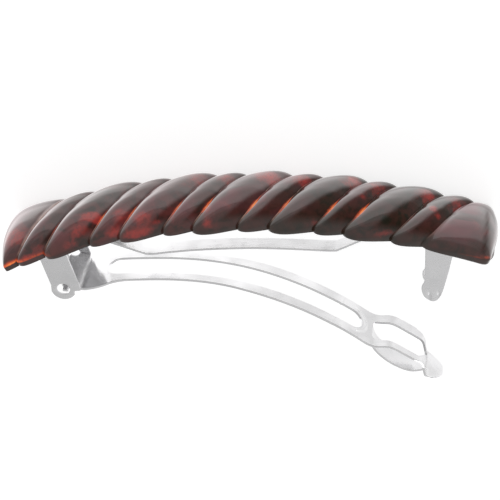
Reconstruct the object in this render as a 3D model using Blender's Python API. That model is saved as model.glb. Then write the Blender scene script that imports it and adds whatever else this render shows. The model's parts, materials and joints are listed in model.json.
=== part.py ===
"""A rope-carved hair clip: an arched acetate bar on a sprung steel clasp.

The pieces are drawn in the clip's own frame, in which +X runs along the bar,
+Y away from the front edge and +Z out of the domed face, with the middle of
the flat back at the origin. The clip_frame empty then lays the whole clip on
its rear long side, with the middle of its footprint at the world's origin.
Units are metres.
"""
import math

import bmesh
import bpy
from mathutils import Matrix, Vector

MM = 0.001
SEAT_GAP = 0.3 * MM

# Acetate bar: an arched back, and a domed face carved into diagonal strands
BACK_RADIUS = 122.0 * MM
BAR_HALF_ARC = 46.5 * MM
END_BOW = 1.0 * MM
LONG_CORNER = 3.0 * MM
SHORT_CORNER = 1.4 * MM
GROOVE_HALF_WIDTH = 7.1 * MM
GROOVE_HEIGHT = 4.0 * MM
MIDDLE_RIM = 0.55 * MM
END_RIM = 1.35 * MM
RIM_RISE = (33.0 * MM, 40.0 * MM)
BACK_CHAMFER = 0.25 * MM
GROOVE_SLANT = 0.658
FIRST_GROOVE = -38.3 * MM
STRAND_WIDTHS = [w * MM for w in (5.6, 9.1, 5.7, 8.4, 5.4, 8.3, 5.6, 8.1, 5.3, 8.6, 5.6)]
WIDE_STRAND = 7.0 * MM
WIDE_BULGE = {"side": 1.62 * MM, "top": 0.9 * MM}
NARROW_BULGE = {"side": 1.1 * MM, "top": 0.5 * MM}
CAP_BULGE = {"side": 1.35 * MM, "top": 0.65 * MM}
CAP_BULGE_REACH = 3.6 * MM
CAP_FALL = 7.0 * MM
STRAND_SKEW = 0.13
DOME_POWER = 2.08
REST_HALF_WIDTH = 8.1 * MM
FRAME_SHIFT = 17.6 * MM
STRAND_STEPS = 8
CAP_STEPS = 9
DOME_STEPS = 14

# Steel sheet
BASE_SHEET = 0.45 * MM
ARM_SHEET = 0.45 * MM
BOW_SHEET = 0.4 * MM

# Base plate under the bar, with two ears at the hinge and two catch legs
BASE_RADIUS = BACK_RADIUS - SEAT_GAP
EAR_SPREAD = 5.57 * MM
LEG_SPREAD = 2.03 * MM
BASE_OUTLINE = [(x * MM, w * MM) for x, w in (
    (-39.6, 2.6), (-38.9, 4.6), (-37.6, 5.6), (-32.6, 5.6), (-30.6, 3.9),
    (28.6, 3.9), (30.4, 2.05), (38.8, 2.05), (39.6, 1.2))]
BASE_STATIONS = 30
EAR_HOLE = (-34.95 * MM, -14.4 * MM)
EAR_HOLE_RADIUS = 1.2 * MM
EAR_TIP_RADIUS = 2.45 * MM
EAR_TOP = (-38.9 * MM, -33.9 * MM)
EAR_SHOULDER = ((-37.45 * MM, -13.4 * MM), (-32.05 * MM, -14.9 * MM))
LEG_OUTLINE = [(x * MM, z * MM) for x, z in (
    (32.3, -10.0), (32.1, -15.4), (31.5, -16.9), (31.55, -18.2), (32.0, -19.4), (32.8, -20.2),
    (33.7, -20.5), (34.6, -20.25), (35.4, -19.5), (35.9, -18.4), (36.1, -17.2), (36.7, -14.2),
    (37.5, -10.4))]
LEG_TOP = (32.6 * MM, 38.3 * MM)
LEG_BEND = [(y * MM, z * MM) for y, z in (
    (0.0, -4.5), (0.0, -15.3), (0.2, -16.9), (0.2, -17.4), (-0.35, -20.6))]

# Tension bow between the base plate and the arm, seen from the side
BOW_HALF_WIDTH = 1.53 * MM
BOW_PATH = [(x * MM, z * MM) for x, z in (
    (-31.6, -5.3), (-30.2, -5.0), (-29.3, -5.05), (-20.2, -8.95), (-19.0, -9.35), (-17.8, -9.4),
    (-15.0, -9.05), (-10.0, -8.62), (-5.0, -8.38), (0.0, -8.3), (5.0, -8.44), (10.0, -8.75),
    (14.0, -9.05), (16.0, -9.1), (17.0, -8.85), (25.6, -4.6), (26.4, -4.3), (28.6, -4.65))]

# Closing arm in its shut position, measured from the pivot, seen from the side
PIVOT = (-34.5 * MM, -14.2 * MM)
OPEN_ANGLE = math.radians(14.1)
ARM_PATH = [(x * MM, z * MM) for x, z in (
    (-1.0, -0.15), (0.0, 0.0), (3.2, 0.75), (6.2, 1.7), (7.4, 2.3), (10.1, 3.35), (14.0, 4.45),
    (18.9, 5.6), (23.9, 6.4), (29.1, 6.75), (34.4, 6.55), (39.8, 5.75), (45.3, 4.4), (51.1, 2.4),
    (54.6, 0.9), (57.0, -0.3), (58.2, -0.8), (59.2, -0.95), (60.2, -0.75), (61.2, -0.5), (62.2, -0.5),
    (63.4, -0.8), (65.7, -1.75), (68.1, -2.85), (69.0, -3.4), (69.6, -4.2), (70.3, -6.2),
    (70.9, -6.95), (73.5, -7.85))]
ARM_OUTLINE = [(x * MM, w * MM) for x, w in (
    (-1.0, 4.4), (-0.8, 4.9), (-0.55, 5.0), (-0.55, 6.15), (0.55, 6.15), (0.55, 5.0), (3.1, 5.0),
    (3.5, 5.35), (6.4, 5.3), (9.8, 4.45), (14.0, 4.2), (27.0, 4.2), (35.0, 4.55), (45.0, 4.65),
    (65.0, 4.65), (67.4, 4.5), (69.0, 4.05), (69.8, 3.7), (70.4, 3.6), (71.2, 3.3), (72.7, 2.2),
    (73.3, 1.6), (73.5, 0.9))]
SLOT = {"from": 6.9 * MM, "to": 56.2 * MM, "half_width": 2.35 * MM}
WINDOW = {"from": 58.4 * MM, "to": 70.15 * MM, "half_width": 2.62 * MM, "corner": 1.2 * MM}
RAIL_DISH = 0.3 * MM
LEAF_HALF_WIDTH = 2.1 * MM
LEAF_PATH = [(x * MM, z * MM) for x, z in (
    (57.8, -0.9), (58.4, -1.4), (59.2, -3.2), (60.7, -4.75), (62.9, -6.15), (65.1, -7.0), (67.3, -7.35),
    (68.9, -6.95), (70.25, -6.3))]
ROUND_STEPS = 10

ACETATE = {"name": "tortoiseshell acetate", "colour": (0.045, 0.012, 0.008, 1), "rough": 0.18, "metal": 0.0}
BASE_STEEL = {"name": "stamped steel", "colour": (0.62, 0.62, 0.63, 1), "rough": 0.3, "metal": 1.0}
BOW_STEEL = {"name": "spring steel", "colour": (0.72, 0.72, 0.74, 1), "rough": 0.22, "metal": 1.0}
ARM_STEEL = {"name": "polished steel", "colour": (0.8, 0.8, 0.81, 1), "rough": 0.16, "metal": 1.0}


def clear_scene():
    for obj in list(bpy.data.objects):
        bpy.data.objects.remove(obj, do_unlink=True)


def new_collection(name):
    group = bpy.data.collections.new(name)
    bpy.context.scene.collection.children.link(group)
    return group


def new_material(look):
    material = bpy.data.materials.new(look["name"])
    material.use_nodes = True
    shader = material.node_tree.nodes["Principled BSDF"]
    shader.inputs["Base Color"].default_value = look["colour"]
    shader.inputs["Roughness"].default_value = look["rough"]
    shader.inputs["Metallic"].default_value = look["metal"]
    return material


def add_empty(name, group, location, rotation, parent=None):
    empty = bpy.data.objects.new(name, None)
    empty.empty_display_size = 5 * MM
    empty.location = location
    empty.rotation_euler = rotation
    empty.parent = parent
    group.objects.link(empty)
    return empty


def add_object(name, mesh, group, parent, look=None):
    obj = bpy.data.objects.new(name, mesh)
    if look:
        mesh.materials.append(new_material(look))
    obj.parent = parent
    group.objects.link(obj)
    return obj


def add_cutter(name, mesh, group, parent):
    cutter = add_object(name, mesh, group, parent)
    cutter.hide_render = True
    cutter.display_type = "WIRE"
    return cutter


def boolean(obj, cutter, operation):
    step = obj.modifiers.new(cutter.name, "BOOLEAN")
    step.operation = operation
    step.solver = "EXACT"
    step.object = cutter


# Paths: a side view's polyline, read by the distance along it

def distances(path):
    total = [0.0]
    for (x0, z0), (x1, z1) in zip(path, path[1:]):
        total.append(total[-1] + math.hypot(x1 - x0, z1 - z0))
    return total


def distance_at(path, x):
    """Distance along a path at which it reaches x."""
    along = distances(path)
    for i, ((x0, _), (x1, _)) in enumerate(zip(path, path[1:])):
        if x <= x1 or i == len(path) - 2:
            return along[i] + (x - x0) / (x1 - x0) * (along[i + 1] - along[i])
    return along[-1]


def mitres(path):
    """Offset direction at each point that keeps a sheet's thickness on both sides of a bend."""
    normals = []
    for (x0, z0), (x1, z1) in zip(path, path[1:]):
        length = math.hypot(x1 - x0, z1 - z0)
        normals.append(Vector((-(z1 - z0) / length, (x1 - x0) / length)))
    out = [normals[0]]
    for a, b in zip(normals, normals[1:]):
        middle = (a + b).normalized()
        out.append(middle / middle.dot(a))
    out.append(normals[-1])
    return out


def sheet_point(path, along, miter, u, depth):
    """Side-view point at distance u along the path, depth below its upper face."""
    i = 0
    while i < len(path) - 2 and u > along[i + 1]:
        i += 1
    t = (u - along[i]) / (along[i + 1] - along[i])
    near = Vector(path[i]) - depth * miter[i]
    far = Vector(path[i + 1]) - depth * miter[i + 1]
    return near.lerp(far, t)


# Flat blanks, cut across at each bend and then bent along a path

def blank_mesh(outline, holes, thickness):
    """A flat plate from closed outlines, as a mesh from z = 0 down to -thickness."""
    curve = bpy.data.curves.new("blank", "CURVE")
    curve.dimensions = "2D"
    curve.fill_mode = "BOTH"
    curve.extrude = thickness / 2
    for loop in [outline] + holes:
        spline = curve.splines.new("POLY")
        spline.points.add(len(loop) - 1)
        for point, (u, v) in zip(spline.points, loop):
            point.co = (u, v, 0, 1)
        spline.use_cyclic_u = True
    holder = bpy.data.objects.new("blank", curve)
    bpy.context.scene.collection.objects.link(holder)
    bpy.context.view_layer.update()
    graph = bpy.context.evaluated_depsgraph_get()
    mesh = bpy.data.meshes.new_from_object(holder.evaluated_get(graph))
    bpy.data.objects.remove(holder)
    bpy.data.curves.remove(curve)
    mesh.transform(Matrix.Translation((0, 0, -thickness / 2)))
    mesh.materials.clear()
    return mesh


def bend_blank(mesh, path, place, dish=None):
    """Bends a blank along a path; place turns a side-view point and v into a position."""
    along = distances(path)
    miter = mitres(path)
    bm = bmesh.new()
    bm.from_mesh(mesh)
    bmesh.ops.remove_doubles(bm, verts=bm.verts, dist=0.001 * MM)
    for u in along[1:-1]:
        geometry = list(bm.verts) + list(bm.edges) + list(bm.faces)
        bmesh.ops.bisect_plane(bm, geom=geometry, dist=0.002 * MM, plane_co=(u, 0, 0), plane_no=(1, 0, 0))
    for vert in bm.verts:
        u, v, depth = vert.co.x, vert.co.y, -vert.co.z
        if dish:
            depth += dish(u, v)
        side = sheet_point(path, along, miter, u, depth)
        vert.co = place(side, v)
    bmesh.ops.recalc_face_normals(bm, faces=bm.faces)
    bm.to_mesh(mesh)
    bm.free()
    return mesh


def arc(centre, radius, start, end, steps):
    """Points round an arc, angles in degrees."""
    out = []
    for i in range(steps + 1):
        a = math.radians(start + (end - start) * i / steps)
        out.append((centre[0] + radius * math.cos(a), centre[1] + radius * math.sin(a)))
    return out


def both_sides(half, path):
    """Closed outline from half widths given along x, read onto the path."""
    near = [(distance_at(path, x), -w) for x, w in half]
    far = [(u, -v) for u, v in reversed(near)]
    return near + far


def rounded_slot(u0, u1, half_width, corner, steps):
    """A hole from u0 to u1 with round corners; corner equal to half_width gives round ends."""
    v = half_width - corner
    return (arc((u1 - corner, -v), corner, -90, 0, steps) + arc((u1 - corner, v), corner, 0, 90, steps)
            + arc((u0 + corner, v), corner, 90, 180, steps) + arc((u0 + corner, -v), corner, 180, 270, steps))


def without_repeats(loop):
    kept = [loop[0]]
    for point in loop[1:]:
        if math.dist(point, kept[-1]) > 0.01 * MM:
            kept.append(point)
    if math.dist(kept[0], kept[-1]) < 0.01 * MM:
        kept.pop()
    return kept


# Rope-carved bar

def on_arch(s, y, z):
    """Position at distance s along the arched back and height z above it."""
    angle = s / BACK_RADIUS
    reach = BACK_RADIUS + z
    return Vector((reach * math.sin(angle), y, reach * math.cos(angle) - BACK_RADIUS))


def end_reach(y):
    """How far the bowed end face reaches along the back at this y."""
    return BAR_HALF_ARC - END_BOW * (y / GROOVE_HALF_WIDTH) ** 2


def corner_inset(s, across):
    """How much the plan's round corners narrow the bar near its ends; a short cap side is sharper."""
    corner = LONG_CORNER if s * across < 0 else SHORT_CORNER
    over = abs(s) - (BAR_HALF_ARC - END_BOW - corner)
    if over <= 0:
        return 0.0
    over = min(over, corner)
    return corner - math.sqrt(corner ** 2 - over ** 2)


def rim_height(s):
    """Height of the upright edge: low along the strands, higher round the ends."""
    t = (abs(s) - RIM_RISE[0]) / (RIM_RISE[1] - RIM_RISE[0])
    t = min(1.0, max(0.0, t))
    return MIDDLE_RIM + (END_RIM - MIDDLE_RIM) * t * t * (3 - 2 * t)


def end_fall(s):
    """Height of the dome near the ends, as a share of its full height."""
    over = abs(s) - (BAR_HALF_ARC - CAP_FALL)
    if over <= 0:
        return 1.0
    return math.sqrt(max(0.0, 1 - (over / CAP_FALL) ** 2))


def dome_angles():
    """Angles over the dome from the front rim (0) to the rear rim (pi)."""
    return [math.pi * i / DOME_STEPS for i in range(DOME_STEPS + 1)]


def power(value, exponent):
    return math.copysign(abs(value) ** exponent, value)


def bulge_at(amounts, share, angle):
    """A strand's rise over its grooves: most at the sides, less over the top."""
    top = math.sin(angle)
    return share * (amounts["side"] * (1 - top) + amounts["top"] * top)


def strand_share(t, angle):
    """Round profile across a strand, leaning with the twist."""
    lean = t + STRAND_SKEW * math.cos(angle) * 4 * t * (1 - t)
    return math.sqrt(max(0.0, 1 - (2 * lean - 1) ** 2)) ** 1.15


def section_point(s, angle, rise):
    """Point of the dome at arc distance s, raised by rise off the groove surface."""
    across = -power(math.cos(angle), 2 / DOME_POWER)
    up = power(math.sin(angle), 2 / DOME_POWER)
    rim = rim_height(s)
    half = GROOVE_HALF_WIDTH + rise * abs(math.cos(angle)) - corner_inset(s, across)
    height = (GROOVE_HEIGHT - rim + rise * math.sin(angle)) * end_fall(s)
    y = min(half * across, REST_HALF_WIDTH)
    return y, rim + height * up


def groove_lines():
    lines = [FIRST_GROOVE]
    for width in STRAND_WIDTHS:
        lines.append(lines[-1] + width)
    return lines


def stations():
    """One station per loft ring: a function from a dome angle to (s, rise)."""
    grooves = groove_lines()

    def slanted(groove, angle):
        return groove - GROOVE_SLANT * GROOVE_HALF_WIDTH * math.cos(angle)

    def cap(groove, sign, t, angle):
        start = slanted(groove, angle)
        end = sign * end_reach(GROOVE_HALF_WIDTH * math.cos(angle))
        s = start + (end - start) * t
        away = min(1.0, abs(s - start) / CAP_BULGE_REACH)
        return s, bulge_at(CAP_BULGE, math.sqrt(1 - (1 - away) ** 2), angle)

    def strand(left, right, amounts, t, angle):
        s = slanted(left, angle) * (1 - t) + slanted(right, angle) * t
        return s, bulge_at(amounts, strand_share(t, angle), angle)

    rings = []
    for i in range(CAP_STEPS, 0, -1):
        t = math.sin(math.pi / 2 * i / CAP_STEPS)
        rings.append(lambda a, t=t: cap(grooves[0], -1, t, a))
    for left, right in zip(grooves, grooves[1:]):
        amounts = WIDE_BULGE if right - left > WIDE_STRAND else NARROW_BULGE
        for i in range(STRAND_STEPS):
            t = (1 - math.cos(math.pi * i / STRAND_STEPS)) / 2
            rings.append(lambda a, t=t, l=left, r=right, m=amounts: strand(l, r, m, t, a))
    rings.append(lambda a: (slanted(grooves[-1], a), 0.0))
    for i in range(1, CAP_STEPS + 1):
        t = math.sin(math.pi / 2 * i / CAP_STEPS)
        rings.append(lambda a, t=t: cap(grooves[-1], 1, t, a))
    return rings


def ring_points(station):
    """One ring: front back edge, chamfer, rim, over the dome, and down to the rear back edge."""
    dome = []
    for angle in dome_angles():
        s, rise = station(angle)
        y, z = section_point(s, angle, rise)
        dome.append(on_arch(s, y, z))
    s0, rise0 = station(0.0)
    s1, rise1 = station(math.pi)
    y0 = section_point(s0, 0.0, rise0)[0]
    y1 = section_point(s1, math.pi, rise1)[0]
    front = [on_arch(s0, y0 + BACK_CHAMFER, 0.0), on_arch(s0, y0, BACK_CHAMFER)]
    rear = [on_arch(s1, y1, BACK_CHAMFER), on_arch(s1, y1 - BACK_CHAMFER, 0.0)]
    return front + dome + rear


def make_rope_bar(group, parent):
    bm = bmesh.new()
    rings = [[bm.verts.new(point) for point in ring_points(station)] for station in stations()]
    for ring, following in zip(rings, rings[1:]):
        count = len(ring)
        for i in range(count):
            j = (i + 1) % count
            bm.faces.new((ring[i], following[i], following[j], ring[j]))
    bm.faces.new(rings[0])
    bm.faces.new(list(reversed(rings[-1])))
    bmesh.ops.recalc_face_normals(bm, faces=bm.faces)
    mesh = bpy.data.meshes.new("rope_bar")
    bm.to_mesh(mesh)
    bm.free()
    mesh.shade_smooth()
    mesh.set_sharp_from_angle(angle=math.radians(35))
    return add_object("rope_bar", mesh, group, parent, ACETATE)


# Steel pieces

def along_x(side, v):
    return Vector((side.x, v, side.y))


def arch_z(x, radius):
    return math.sqrt(radius ** 2 - x ** 2) - BACK_RADIUS


def base_path():
    first, last = BASE_OUTLINE[0][0], BASE_OUTLINE[-1][0]
    step = (last - first) / BASE_STATIONS
    xs = [first + step * i for i in range(BASE_STATIONS + 1)]
    return [(x, arch_z(x, BASE_RADIUS)) for x in xs]


def ear_outline():
    """Ear in side view: tilted sides, a round tip about its hole and a square heel."""
    centre = EAR_HOLE
    middle = BASE_RADIUS - BASE_SHEET / 2
    top = [(EAR_TOP[1], arch_z(EAR_TOP[1], middle)), (sum(EAR_TOP) / 2, arch_z(sum(EAR_TOP) / 2, middle)),
           (EAR_TOP[0], arch_z(EAR_TOP[0], middle))]
    tip = arc(centre, EAR_TIP_RADIUS, 190, 322, ROUND_STEPS)
    heel = [(tip[-1][0] + 0.2 * MM, EAR_SHOULDER[1][1] - 0.05 * MM), EAR_SHOULDER[1]]
    return top + [EAR_SHOULDER[0]] + tip + heel


def make_ear(name, side, group, parent):
    hole = arc(EAR_HOLE, EAR_HOLE_RADIUS, 0, 360, 2 * ROUND_STEPS)[:-1]
    mesh = blank_mesh(ear_outline(), [hole], BASE_SHEET)
    mesh.transform(Matrix.Translation((0, 0, BASE_SHEET / 2)))
    mesh.transform(Matrix.Rotation(math.pi / 2, 4, "X"))
    mesh.transform(Matrix.Translation((0, side * EAR_SPREAD, 0)))
    merged = bmesh.new()
    merged.from_mesh(mesh)
    bmesh.ops.remove_doubles(merged, verts=merged.verts, dist=0.001 * MM)
    merged.to_mesh(mesh)
    merged.free()
    return add_cutter(name, mesh, group, parent)


def make_leg(name, side, group, parent):
    """A catch leg: cut in side view, then bent out to a barb and in again at its tip."""
    start = LEG_BEND[0][1]
    middle = BASE_RADIUS - BASE_SHEET / 2
    profile = [(LEG_TOP[0], arch_z(LEG_TOP[0], middle))] + LEG_OUTLINE
    profile += [(x, arch_z(x, middle)) for x in (LEG_TOP[1], sum(LEG_TOP) / 2)]
    path = [(start - z, y) for y, z in LEG_BEND]
    mesh = blank_mesh([(start - z, x) for x, z in profile], [], BASE_SHEET)

    def place(point, v):
        across = side * (LEG_SPREAD + BASE_SHEET / 2 + point.y)
        return Vector((v, across, start - point.x))

    bend_blank(mesh, path, place)
    return add_cutter(name, mesh, group, parent)


def make_base_plate(group, cutters, parent):
    path = base_path()
    outline = both_sides(BASE_OUTLINE, path)
    mesh = bend_blank(blank_mesh(outline, [], BASE_SHEET), path, along_x)
    plate = add_object("base_plate", mesh, group, parent, BASE_STEEL)
    for side, word in ((-1, "front"), (1, "rear")):
        boolean(plate, make_ear(word + "_ear", side, cutters, parent), "UNION")
        boolean(plate, make_leg(word + "_leg", side, cutters, parent), "UNION")
    return plate


def make_spring_bow(group, parent):
    length = distances(BOW_PATH)[-1]
    nose = 0.6 * MM
    half = [(0.0, BOW_HALF_WIDTH - nose), (nose, BOW_HALF_WIDTH),
            (length - nose, BOW_HALF_WIDTH), (length, BOW_HALF_WIDTH - nose)]
    outline = [(u, -w) for u, w in half] + [(u, w) for u, w in reversed(half)]
    mesh = bend_blank(blank_mesh(outline, [], BOW_SHEET), BOW_PATH, along_x)
    return add_object("spring_bow", mesh, group, parent, BOW_STEEL)


def make_closing_arm(group, cutters, parent):
    slot_u = [distance_at(ARM_PATH, SLOT[key]) for key in ("from", "to")]
    window_u = [distance_at(ARM_PATH, WINDOW[key]) for key in ("from", "to")]
    slot = rounded_slot(slot_u[0], slot_u[1], SLOT["half_width"], SLOT["half_width"], ROUND_STEPS // 2)
    window = rounded_slot(window_u[0], window_u[1], WINDOW["half_width"], WINDOW["corner"], 4)
    outline = both_sides(ARM_OUTLINE, ARM_PATH)
    window_length = window_u[1] - window_u[0]

    def dish(u, v):
        """The window's rails lean down towards each other."""
        t = (u - window_u[0]) / window_length
        if not 0 < t < 1:
            return 0.0
        inward = max(0.0, 1 - (abs(v) - WINDOW["half_width"]) / (2.0 * MM))
        return RAIL_DISH * math.sin(math.pi * t) * min(1.0, inward)

    blank = blank_mesh(without_repeats(outline), [without_repeats(slot), without_repeats(window)], ARM_SHEET)
    arm = add_object("closing_arm", bend_blank(blank, ARM_PATH, along_x, dish), group, parent, ARM_STEEL)
    length = distances(LEAF_PATH)[-1]
    w = LEAF_HALF_WIDTH
    leaf_blank = blank_mesh([(0, -w), (length, -w), (length, w), (0, w)], [], ARM_SHEET)
    leaf = add_cutter("leaf", bend_blank(leaf_blank, LEAF_PATH, along_x), cutters, parent)
    boolean(arm, leaf, "UNION")
    return arm


def main():
    clear_scene()
    group = new_collection("hair_clip")
    cutters = new_collection("joined_shapes")
    frame = add_empty("clip_frame", group, (0, FRAME_SHIFT, REST_HALF_WIDTH), (-math.pi / 2, 0, 0))
    hinge = add_empty("arm_hinge", group, (PIVOT[0], 0, PIVOT[1]), (0, OPEN_ANGLE, 0), frame)
    make_rope_bar(group, frame)
    make_base_plate(group, cutters, frame)
    make_spring_bow(group, frame)
    make_closing_arm(group, cutters, hinge)


main()
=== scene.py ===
import json
import math
from types import SimpleNamespace

import bmesh
import bpy
import numpy as np
from mathutils import Matrix, Vector
from mathutils.geometry import tessellate_polygon


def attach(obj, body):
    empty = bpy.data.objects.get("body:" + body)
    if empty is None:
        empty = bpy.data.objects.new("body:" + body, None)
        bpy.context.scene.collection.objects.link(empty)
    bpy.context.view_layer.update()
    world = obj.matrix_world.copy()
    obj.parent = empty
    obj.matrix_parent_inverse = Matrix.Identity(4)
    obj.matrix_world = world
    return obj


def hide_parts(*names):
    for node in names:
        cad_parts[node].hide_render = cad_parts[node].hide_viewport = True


# Looks of a rope-carved hair clip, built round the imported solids.
# Pieces are drawn in the clip's own frame: +X along the bar, +Y away from the front edge,
# +Z out of the domed face. The hinge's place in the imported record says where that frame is.

mm = 0.001
weldDistance = 0.0005 * mm

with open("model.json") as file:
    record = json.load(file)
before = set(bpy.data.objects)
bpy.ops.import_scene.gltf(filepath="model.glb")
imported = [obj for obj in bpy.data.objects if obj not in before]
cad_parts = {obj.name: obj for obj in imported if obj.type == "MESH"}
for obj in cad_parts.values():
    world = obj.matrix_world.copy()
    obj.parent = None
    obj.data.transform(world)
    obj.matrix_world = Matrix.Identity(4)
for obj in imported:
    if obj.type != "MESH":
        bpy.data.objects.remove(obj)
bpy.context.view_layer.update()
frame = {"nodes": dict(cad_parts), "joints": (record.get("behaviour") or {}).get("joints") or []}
hinge = Vector(frame["joints"][0]["pos_m"])
pivot = Vector((-34.5 * mm, 0, -14.2 * mm))  # the hinge's axis, in the clip's frame
openAngle = math.radians(14.1)  # the arm at rest, from shut

clipFrame = Matrix.Translation((hinge.x - pivot.x, hinge.y - pivot.z, hinge.z))
clipFrame = clipFrame @ Matrix.Rotation(-math.pi / 2, 4, "X")
armFrame = clipFrame @ Matrix.Translation(pivot) @ Matrix.Rotation(openAngle, 4, "Y")
print("frame loaded:", ", ".join(sorted(frame["nodes"])))


def addObject(name, data):
    obj = bpy.data.objects.new(name, data)
    bpy.context.scene.collection.objects.link(obj)
    return obj


def addNode(tree, kind, **values):
    node = tree.nodes.new(kind)
    for name, value in values.items():
        setattr(node, name, value)
    return node


def plug(tree, socket, value):
    # what another node puts out is linked, and a constant is set on the socket itself
    value = value.socket if isinstance(value, Term) else value
    if isinstance(value, bpy.types.NodeSocket):
        tree.links.new(value, socket)
    else:
        socket.default_value = value


def feed(tree, node, values):
    for name, value in values.items():
        plug(tree, node.inputs[name], value)


def newMaterial(name):
    material = bpy.data.materials.new(name)
    material.use_nodes = True
    tree = material.node_tree
    return material, tree, tree.nodes["Principled BSDF"]


def mathSteps(operation):
    # two methods of a term: itself and another, and another and itself
    return (lambda self, other: self.made(operation, self, other),
            lambda self, other: self.made(operation, other, self))


class Term:
    # a number in a node tree; each step of arithmetic with it is one Math node
    def __init__(self, tree, socket):
        self.tree = tree
        self.socket = socket

    def made(self, operation, *values):
        node = addNode(self.tree, "ShaderNodeMath", operation=operation)
        for socket, value in zip(node.inputs, values):
            plug(self.tree, socket, value)
        return Term(self.tree, node.outputs[0])

    def step(self, operation, *others):
        return self.made(operation, self, *others)

    __add__, __radd__ = mathSteps("ADD")
    __sub__, __rsub__ = mathSteps("SUBTRACT")
    __mul__, __rmul__ = mathSteps("MULTIPLY")
    __truediv__, __rtruediv__ = mathSteps("DIVIDE")
    __gt__ = mathSteps("GREATER_THAN")[0]
    low = mathSteps("MINIMUM")[0]
    high = mathSteps("MAXIMUM")[0]

    def __pow__(self, other):
        return self.high(0.0).step("POWER", other)

    def __abs__(self):
        return self.step("ABSOLUTE")

    def clamp(self, top=1.0):
        return self.high(0.0).low(top)

    def square(self):
        return self * self

    def root(self):
        return self.high(0.0).step("SQRT")

    def arcShare(self):
        # quarter circle from 0 to 1
        return (1.0 - (1.0 - self.clamp()).square()).root()

    def mix(self, a, b):
        # a where this is 0, b where it is 1
        return self.made("ADD", a, self.made("SUBTRACT", b, a) * self)

    def ease(self, start, end, low=0.0, high=1.0):
        # smooth step from low at start to high at end
        node = addNode(self.tree, "ShaderNodeMapRange", interpolation_type="SMOOTHSTEP")
        feed(self.tree, node, {"Value": self, "From Min": start, "From Max": end, "To Min": low,
                               "To Max": high})
        return Term(self.tree, node.outputs["Result"])


# Camera, floor and light

cameraView = {
    "elevation": 36.79,  # above the clip's own base plane, degrees
    "turn": 10.23,
    "roll": -6.78,
    "distance": 361.3 * mm,
    "originRight": -1.111 * mm,  # where the clip's origin stands in the picture
    "originUp": 7.977 * mm,
    "lens": 142.2,
    "sensor": 36,
    "clipStart": 0.01,
}


def makeCamera(view):
    e = math.radians(view["elevation"])
    turn = math.radians(view["turn"])
    roll = math.radians(view["roll"])
    forward = Vector((-math.sin(turn) * math.cos(e), math.cos(turn) * math.cos(e), -math.sin(e)))
    level = Vector((math.cos(turn), math.sin(turn), 0))
    above = level.cross(forward)
    right = math.cos(roll) * level + math.sin(roll) * above
    up = math.cos(roll) * above - math.sin(roll) * level
    place = -view["originRight"] * right - view["originUp"] * up - view["distance"] * forward
    axes = Matrix((right, up, -forward)).transposed().to_4x4()
    data = bpy.data.cameras.new("pictureCamera")
    data.lens = view["lens"]
    data.sensor_width = view["sensor"]
    data.clip_start = view["clipStart"]
    camera = addObject("pictureCamera", data)
    camera.matrix_world = clipFrame @ Matrix.Translation(place) @ axes
    bpy.context.scene.camera = camera


studio = {
    "floorSize": 6.0,
    "paper": (0.62, 0.62, 0.62, 1),
    "paperRough": 0.9,
    "paperGlow": 0.72,  # the table is lit from under
    "nearGlow": (0.97, 0.67),  # what gloss mirrors on the fittings' side, left and right
    "nearSpan": (-0.012, 0.03),  # and where along the bar that changes
    "nearReach": (0.2, 0.95),  # how near it comes to the bar's line, at the left end and elsewhere
    "nearStep": (-0.0330, -0.0318),
    "patchScale": 130.0,  # how uneven it is
    "patchEdges": (0.3, 0.7),
    "patches": (0.8, 1.12),
    "contactGlow": 1.15,  # right beside the bar
    "farGlow": 1.6,  # and beyond it
    "horizonGlow": 1.15,  # and farther still
    "leftShare": 0.85,  # how much of that the left end has
    "leftSpan": (-0.035, -0.008),
    "barLine": 0.0225,  # where the bar's crest stands on the table
    "farRise": 0.006,  # how soon the table is bright past it
    "farFall": (0.032, 0.050),  # and where it falls off
    "crestGlow": (2.6, 1.8),  # the brightest strip, right behind the bar, left and right
    "crestSpan": (-0.025, -0.008),
    "crestRise": (0.0215, 0.0248),
    "crestFall": (0.032, 0.028),
    "tableEnds": (0.078, 0.10),  # how far the bright table goes to either side
    "tableDark": 0.3,  # and how much of its glow there is past that
    "archDrop": 4.1,  # how far these lines drop to the bar's ends, for each square metre
    "endLine": 0.046,  # the bar's right end, and the patch of table past it
    "endReach": 0.024,
    "endBlur": 0.009,
    "endDepth": 0.040,  # how far back it goes
    "endGlow": 1.8,
    "roomLow": 1.5,  # the room's brightness at the horizon
    "roomHigh": 0.45,  # and overhead
    "roomRise": (0.25, 0.72),  # as the rise of a line of sight
    "roomGloss": 0.72,  # as gloss mirrors it
    "rightGloss": 0.85,  # the same, above the viewer's right
    "rightFront": (0.0, -0.4),  # where that is, in parts of a line of sight
    "rightSide": (-0.22, -0.05),
    "wallGlow": 1.0,  # and the pale wall at the table's far end
    "wallTop": (0.20, 0.10),  # how high it stands, how far off and how wide, in such parts
    "wallFar": (0.2, 0.6),
    "wallSides": (0.72, 0.5),
    "softboxes": [
        # name, towards, distance, size, power
        ("farBox", (0.1, -1.0, 0.35), 0.8, 0.5, 0.6),
    ],
}


def noise(tree, coords, scale, detail=3.0, distortion=0.0):
    node = addNode(tree, "ShaderNodeTexNoise")
    feed(tree, node, {"Vector": coords, "Scale": scale, "Detail": detail, "Distortion": distortion})
    return Term(tree, node.outputs[0])


def coordParts(tree, output):
    # a place as one vector, and as its three parts
    coords = addNode(tree, "ShaderNodeTexCoord").outputs[output]
    split = addNode(tree, "ShaderNodeSeparateXYZ")
    tree.links.new(coords, split.inputs[0])
    return [coords] + [Term(tree, part) for part in split.outputs]


def glossyRay(tree):
    return Term(tree, addNode(tree, "ShaderNodeLightPath").outputs["Is Glossy Ray"])


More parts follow.
